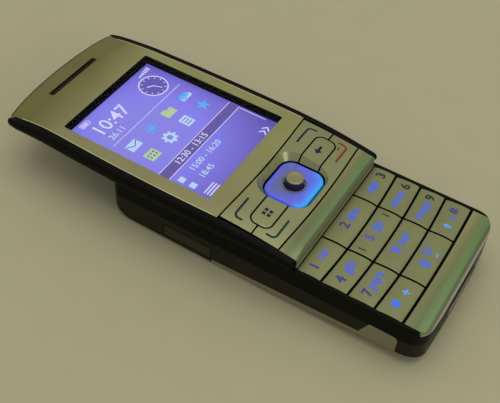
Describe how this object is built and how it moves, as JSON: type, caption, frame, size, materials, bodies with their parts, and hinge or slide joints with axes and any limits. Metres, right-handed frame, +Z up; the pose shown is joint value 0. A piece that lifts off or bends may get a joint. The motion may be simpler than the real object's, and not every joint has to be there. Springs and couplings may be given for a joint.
{
  "type": "slide phone",
  "caption": "Slide phone, slid open: a metal upper half with display and navigation pad runs on guide rails over a base with a number pad, battery bay and charger socket.",
  "frame": {"origin": "middle of the base's flat underside, on the battery cover", "axes": "+X to the phone's right, +Y to its top end along the slide, +Z up out of the display"},
  "size_m": [0.051, 0.1396, 0.0216],
  "materials": {
    "black_plastic": "satin black moulded plastic",
    "champagne_metal": "satin anodised champagne",
    "polished_metal": "polished champagne",
    "silver_cover": "satin anodised silver",
    "clear_window": "clear hard coated",
    "black_foam": "matt foam",
    "black_rubber": "matt silicone",
    "display": "lit panel",
    "dark_mesh": "fine dark mesh",
    "circuit_board": "green solder mask",
    "lit_pad": "back-lit translucent",
    "dark_metal": "turned metal",
    "grey_plastic": "satin",
    "steel": "bright sheet",
    "flex_film": "amber polyimide",
    "brass_foil": "foil",
    "battery_wrap": "printed wrap"
  },
  "bodies": {
    "base": {"middle_frame": "black_plastic", "slide_guide": "steel", "flex_cable": "flex_film", "bottom_bar": "polished_metal", "keypad_mat": "black_rubber", "dome_sheet": "steel", "main_board": "circuit_board", "shield_can": "steel", "rear_housing": "black_plastic", "battery": "battery_wrap", "camera_module": "black_plastic", "camera_window": "clear_window", "loudspeaker": "steel", "vibrator_motor": "steel", "memory_card_holder": "steel", "charger_socket": "steel", "system_connector": "steel", "microphone": "black_plastic", "antenna": "brass_foil", "frame_screws": "steel"},
    "slider": {"upper_frame": "black_plastic", "front_plate": "champagne_metal", "display_window": "clear_window", "display_gasket": "black_foam", "display_panel": "display", "earpiece_grille": "dark_mesh", "earpiece": "steel", "upper_bar": "polished_metal", "nav_board": "circuit_board", "nav_mat": "black_rubber", "slide_carriage": "steel"},
    "left_soft_key": {"left_soft_key": "champagne_metal"},
    "right_soft_key": {"right_soft_key": "champagne_metal"},
    "call_key": {"call_key": "champagne_metal"},
    "end_key": {"end_key": "champagne_metal"},
    "menu_key": {"menu_key": "champagne_metal"},
    "clear_key": {"clear_key": "champagne_metal"},
    "key_1": {"key_1": "champagne_metal"},
    "key_2": {"key_2": "champagne_metal"},
    "key_3": {"key_3": "champagne_metal"},
    "key_4": {"key_4": "champagne_metal"},
    "key_5": {"key_5": "champagne_metal"},
    "key_6": {"key_6": "champagne_metal"},
    "key_7": {"key_7": "champagne_metal"},
    "key_8": {"key_8": "champagne_metal"},
    "key_9": {"key_9": "champagne_metal"},
    "key_star": {"key_star": "champagne_metal"},
    "key_0": {"key_0": "champagne_metal"},
    "key_hash": {"key_hash": "champagne_metal"},
    "nav_pivot": {"nav_pivot": "black_rubber"},
    "nav_pad": {"nav_pad": "lit_pad"},
    "select_button": {"select_button": "dark_metal"},
    "battery_cover": {"battery_cover": "silver_cover"},
    "memory_card_door": {"memory_card_door": "black_plastic"},
    "vibrator_weight": {"vibrator_weight": "steel"},
    "volume_rocker": {"volume_rocker": "grey_plastic"},
    "voice_key": {"voice_key": "grey_plastic"}
  },
  "joints": [
    {"name": "slide_travel", "type": "slide", "parent": "base", "child": "slider", "axis": [0, 1, 0], "range_m": [-0.0383, 0], "deforming": ["flex_cable"]},
    {"name": "key_1_press", "type": "slide", "parent": "base", "child": "key_1", "axis": [0, 0, -1], "range_m": [0, 0.00035], "stiffness_N_per_m": 400},
    {"name": "key_2_press", "type": "slide", "parent": "base", "child": "key_2", "axis": [0, 0, -1], "range_m": [0, 0.00035], "stiffness_N_per_m": 400},
    {"name": "key_3_press", "type": "slide", "parent": "base", "child": "key_3", "axis": [0, 0, -1], "range_m": [0, 0.00035], "stiffness_N_per_m": 400},
    {"name": "key_4_press", "type": "slide", "parent": "base", "child": "key_4", "axis": [0, 0, -1], "range_m": [0, 0.00035], "stiffness_N_per_m": 400},
    {"name": "key_5_press", "type": "slide", "parent": "base", "child": "key_5", "axis": [0, 0, -1], "range_m": [0, 0.00035], "stiffness_N_per_m": 400},
    {"name": "key_6_press", "type": "slide", "parent": "base", "child": "key_6", "axis": [0, 0, -1], "range_m": [0, 0.00035], "stiffness_N_per_m": 400},
    {"name": "key_7_press", "type": "slide", "parent": "base", "child": "key_7", "axis": [0, 0, -1], "range_m": [0, 0.00035], "stiffness_N_per_m": 400},
    {"name": "key_8_press", "type": "slide", "parent": "base", "child": "key_8", "axis": [0, 0, -1], "range_m": [0, 0.00035], "stiffness_N_per_m": 400},
    {"name": "key_9_press", "type": "slide", "parent": "base", "child": "key_9", "axis": [0, 0, -1], "range_m": [0, 0.00035], "stiffness_N_per_m": 400},
    {"name": "key_star_press", "type": "slide", "parent": "base", "child": "key_star", "axis": [0, 0, -1], "range_m": [0, 0.00035], "stiffness_N_per_m": 400},
    {"name": "key_0_press", "type": "slide", "parent": "base", "child": "key_0", "axis": [0, 0, -1], "range_m": [0, 0.00035], "stiffness_N_per_m": 400},
    {"name": "key_hash_press", "type": "slide", "parent": "base", "child": "key_hash", "axis": [0, 0, -1], "range_m": [0, 0.00035], "stiffness_N_per_m": 400},
    {"name": "left_soft_key_press", "type": "slide", "parent": "slider", "child": "left_soft_key", "axis": [0, 0, -1], "range_m": [0, 0.0003], "stiffness_N_per_m": 400},
    {"name": "right_soft_key_press", "type": "slide", "parent": "slider", "child": "right_soft_key", "axis": [0, 0, -1], "range_m": [0, 0.0003], "stiffness_N_per_m": 400},
    {"name": "call_key_press", "type": "slide", "parent": "slider", "child": "call_key", "axis": [0, 0, -1], "range_m": [0, 0.0003], "stiffness_N_per_m": 400},
    {"name": "end_key_press", "type": "slide", "parent": "slider", "child": "end_key", "axis": [0, 0, -1], "range_m": [0, 0.0003], "stiffness_N_per_m": 400},
    {"name": "menu_key_press", "type": "slide", "parent": "slider", "child": "menu_key", "axis": [0, 0, -1], "range_m": [0, 0.0003], "stiffness_N_per_m": 400},
    {"name": "clear_key_press", "type": "slide", "parent": "slider", "child": "clear_key", "axis": [0, 0, -1], "range_m": [0, 0.0003], "stiffness_N_per_m": 400},
    {"name": "nav_pitch", "type": "hinge", "parent": "slider", "child": "nav_pivot", "pos_m": [0, 0.00243, 0.01745], "axis": [1, 0, 0], "range_deg": [-2, 2], "stiffness_Nm_per_rad": 0.02},
    {"name": "nav_roll", "type": "hinge", "parent": "nav_pivot", "child": "nav_pad", "pos_m": [0, 0.00243, 0.01745], "axis": [0, 1, 0], "range_deg": [-2, 2], "stiffness_Nm_per_rad": 0.02},
    {"name": "select_press", "type": "slide", "parent": "slider", "child": "select_button", "axis": [0, 0, -1], "range_m": [0, 0.00025], "stiffness_N_per_m": 400},
    {"name": "cover_lift", "type": "slide", "parent": "base", "child": "battery_cover", "axis": [0, 0, -1], "range_m": [0, 0.01]},
    {"name": "card_door_turn", "type": "hinge", "parent": "base", "child": "memory_card_door", "pos_m": [-0.0245, 0.0302, 0.0044], "axis": [0, 0, -1], "range_deg": [0, 95]},
    {"name": "vibrator_spin", "type": "hinge", "parent": "base", "child": "vibrator_weight", "pos_m": [0.013, 0.0384, 0.00335], "axis": [0, 1, 0], "continuous": true},
    {"name": "volume_rock", "type": "hinge", "parent": "base", "child": "volume_rocker", "pos_m": [0.0238, 0.0231, 0.0113], "axis": [0, 0, 1], "range_deg": [-2, 2], "stiffness_Nm_per_rad": 0.02},
    {"name": "voice_press", "type": "slide", "parent": "base", "child": "voice_key", "axis": [-1, 0, 0], "range_m": [0, 0.0003], "stiffness_N_per_m": 400}
  ]
}
